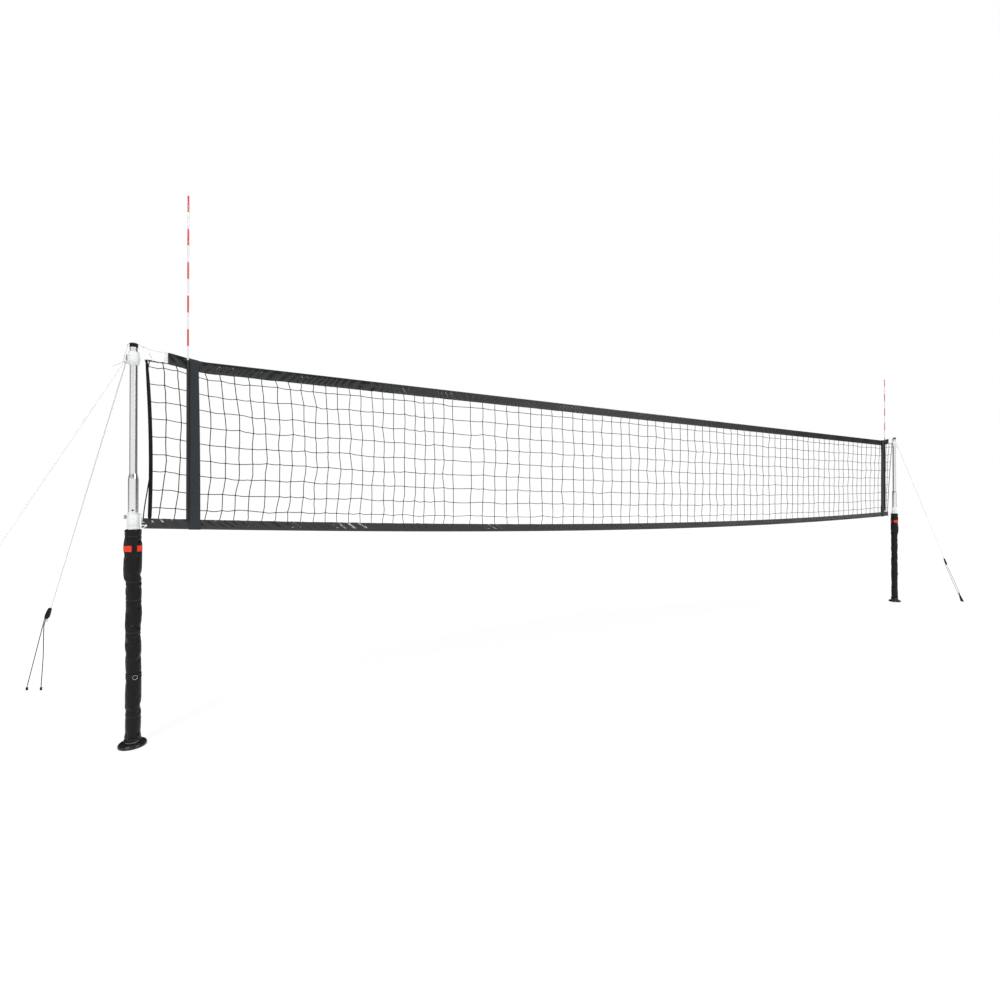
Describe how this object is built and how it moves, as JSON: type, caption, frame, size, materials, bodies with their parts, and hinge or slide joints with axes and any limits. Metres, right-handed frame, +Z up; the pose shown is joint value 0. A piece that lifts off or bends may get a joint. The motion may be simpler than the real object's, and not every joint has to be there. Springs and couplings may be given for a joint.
{
  "type": "volleyball net system",
  "caption": "Portable volleyball net on two telescoping padded posts, with folded bands, antennas and roped guys held by sliding tensioners and ground pegs.",
  "frame": {"origin": "on the ground, midway between the two posts", "axes": "+X along the net to the post on the right in the picture, +Y away from the camera's side, +Z up"},
  "size_m": [10.6667, 2.882, 3.22],
  "materials": {
    "base_disc": "matte black rubber disc",
    "base_plug": "grey moulded plug",
    "lower_tube": "satin drawn tube",
    "collar": "white moulded collar",
    "post_pad": "black woven sleeve over foam",
    "pad_reflector": "orange-red band",
    "pad_strap": "black webbing with a wire ring",
    "mast_tube": "satin drawn tube",
    "post_cap": "black cap",
    "guy_ring": "white moulded ring",
    "rope_cleat": "grey cleat",
    "clamp_knob": "grey lobed knob",
    "height_button": "dark spring button",
    "antenna": "rod with red and white stripes",
    "top_band": "charcoal vinyl-coated band",
    "bottom_band": "charcoal vinyl-coated band",
    "side_band": "charcoal band with a pocket",
    "side_edge": "black webbing",
    "net_mesh": "black knotted cord",
    "head_rope": "white braided rope",
    "foot_rope": "white braided rope",
    "corner_tie": "thin white cord",
    "corner_hook": "white hook",
    "guy_rope": "white braided rope",
    "leg_cord_left": "black braided cord",
    "leg_cord_right": "dark red elastic cord",
    "tensioner": "black slider",
    "peg": "dark peg head",
    "second_peg": "dark peg head",
    "ground_anchor": "black ground anchor"
  },
  "bodies": {
    "posts": {"base_disc_left": "base_disc", "base_disc_right": "base_disc", "base_plug_left": "base_plug", "base_plug_right": "base_plug", "lower_tube_left": "lower_tube", "lower_tube_right": "lower_tube", "collar_left": "collar", "collar_right": "collar", "post_pad_left": "post_pad", "post_pad_right": "post_pad", "pad_reflector_left": "pad_reflector", "pad_reflector_right": "pad_reflector", "pad_strap_left": "pad_strap", "pad_strap_right": "pad_strap", "leg_cord_left_back": "leg_cord_left", "leg_cord_left_front": "leg_cord_left", "leg_cord_right_back": "leg_cord_right", "leg_cord_right_front": "leg_cord_right", "ground_anchor_right_back": "ground_anchor", "ground_anchor_right_front": "ground_anchor", "peg_left_back": "peg", "peg_left_front": "peg", "second_peg_left_back": "second_peg", "second_peg_left_front": "second_peg"},
    "left_mast": {"mast_tube_left": "mast_tube", "post_cap_left": "post_cap", "guy_ring_left": "guy_ring", "rope_cleat_left": "rope_cleat", "guy_rope_left_back": "guy_rope", "guy_rope_left_front": "guy_rope", "head_rope": "head_rope", "foot_rope": "foot_rope", "top_band": "top_band", "bottom_band": "bottom_band", "net_mesh": "net_mesh", "side_band_left": "side_band", "side_band_right": "side_band", "side_edge_left": "side_edge", "side_edge_right": "side_edge", "corner_tie_left": "corner_tie", "corner_tie_right": "corner_tie", "corner_hook_left": "corner_hook", "corner_hook_right": "corner_hook"},
    "right_mast": {"mast_tube_right": "mast_tube", "post_cap_right": "post_cap", "guy_ring_right": "guy_ring", "rope_cleat_right": "rope_cleat", "guy_rope_right_back": "guy_rope", "guy_rope_right_front": "guy_rope"},
    "left_knob": {"clamp_knob_left": "clamp_knob"},
    "left_button": {"height_button_left": "height_button"},
    "left_antenna": {"antenna_left": "antenna"},
    "right_knob": {"clamp_knob_right": "clamp_knob"},
    "right_button": {"height_button_right": "height_button"},
    "right_antenna": {"antenna_right": "antenna"},
    "left_back_tensioner": {"tensioner_left_back": "tensioner"},
    "left_front_tensioner": {"tensioner_left_front": "tensioner"},
    "right_back_tensioner": {"tensioner_right_back": "tensioner"},
    "right_front_tensioner": {"tensioner_right_front": "tensioner"}
  },
  "joints": [
    {"name": "left_mast_slide", "type": "slide", "parent": "posts", "child": "left_mast", "axis": [0, 0, 1], "range_m": [0, 0.19], "deforming": ["guy_rope_left_back", "guy_rope_left_front"]},
    {"name": "right_mast_slide", "type": "slide", "parent": "posts", "child": "right_mast", "axis": [0, 0, 1], "range_m": [0, 0.19], "deforming": ["guy_rope_right_back", "guy_rope_right_front"]},
    {"name": "left_knob_turn", "type": "hinge", "parent": "posts", "child": "left_knob", "pos_m": [-4.401, 0, 1.305], "axis": [-1, 0, 0], "range_deg": [0, 360]},
    {"name": "left_button_press", "type": "slide", "parent": "left_mast", "child": "left_button", "axis": [0, 1, 0], "range_m": [0, 0.004], "stiffness_N_per_m": 800},
    {"name": "left_antenna_slide", "type": "slide", "parent": "left_mast", "child": "left_antenna", "axis": [0, 0, 1], "range_m": [-0.14, 0.8]},
    {"name": "right_knob_turn", "type": "hinge", "parent": "posts", "child": "right_knob", "pos_m": [4.401, 0, 1.305], "axis": [1, 0, 0], "range_deg": [0, 360]},
    {"name": "right_button_press", "type": "slide", "parent": "right_mast", "child": "right_button", "axis": [0, 1, 0], "range_m": [0, 0.004], "stiffness_N_per_m": 800},
    {"name": "right_antenna_slide", "type": "slide", "parent": "left_mast", "child": "right_antenna", "axis": [0, 0, 1], "range_m": [0, 0.8]},
    {"name": "left_back_tensioner_slide", "type": "slide", "parent": "posts", "child": "left_back_tensioner", "axis": [0.2834, -0.5234, 0.8036], "range_m": [0, 0.08], "deforming": ["leg_cord_left_back"]},
    {"name": "left_front_tensioner_slide", "type": "slide", "parent": "posts", "child": "left_front_tensioner", "axis": [0.2834, 0.5234, 0.8036], "range_m": [0, 0.08], "deforming": ["leg_cord_left_front"]},
    {"name": "right_back_tensioner_slide", "type": "slide", "parent": "posts", "child": "right_back_tensioner", "axis": [-0.4286, -0.1823, 0.8849], "range_m": [0, 0.08], "deforming": ["leg_cord_right_back"]},
    {"name": "right_front_tensioner_slide", "type": "slide", "parent": "posts", "child": "right_front_tensioner", "axis": [-0.3336, 0.1852, 0.9244], "range_m": [0, 0.08], "deforming": ["leg_cord_right_front"]}
  ],
  "couplings": [
    {"joint": "right_mast_slide", "follows": "left_mast_slide", "ratio": 1}
  ]
}
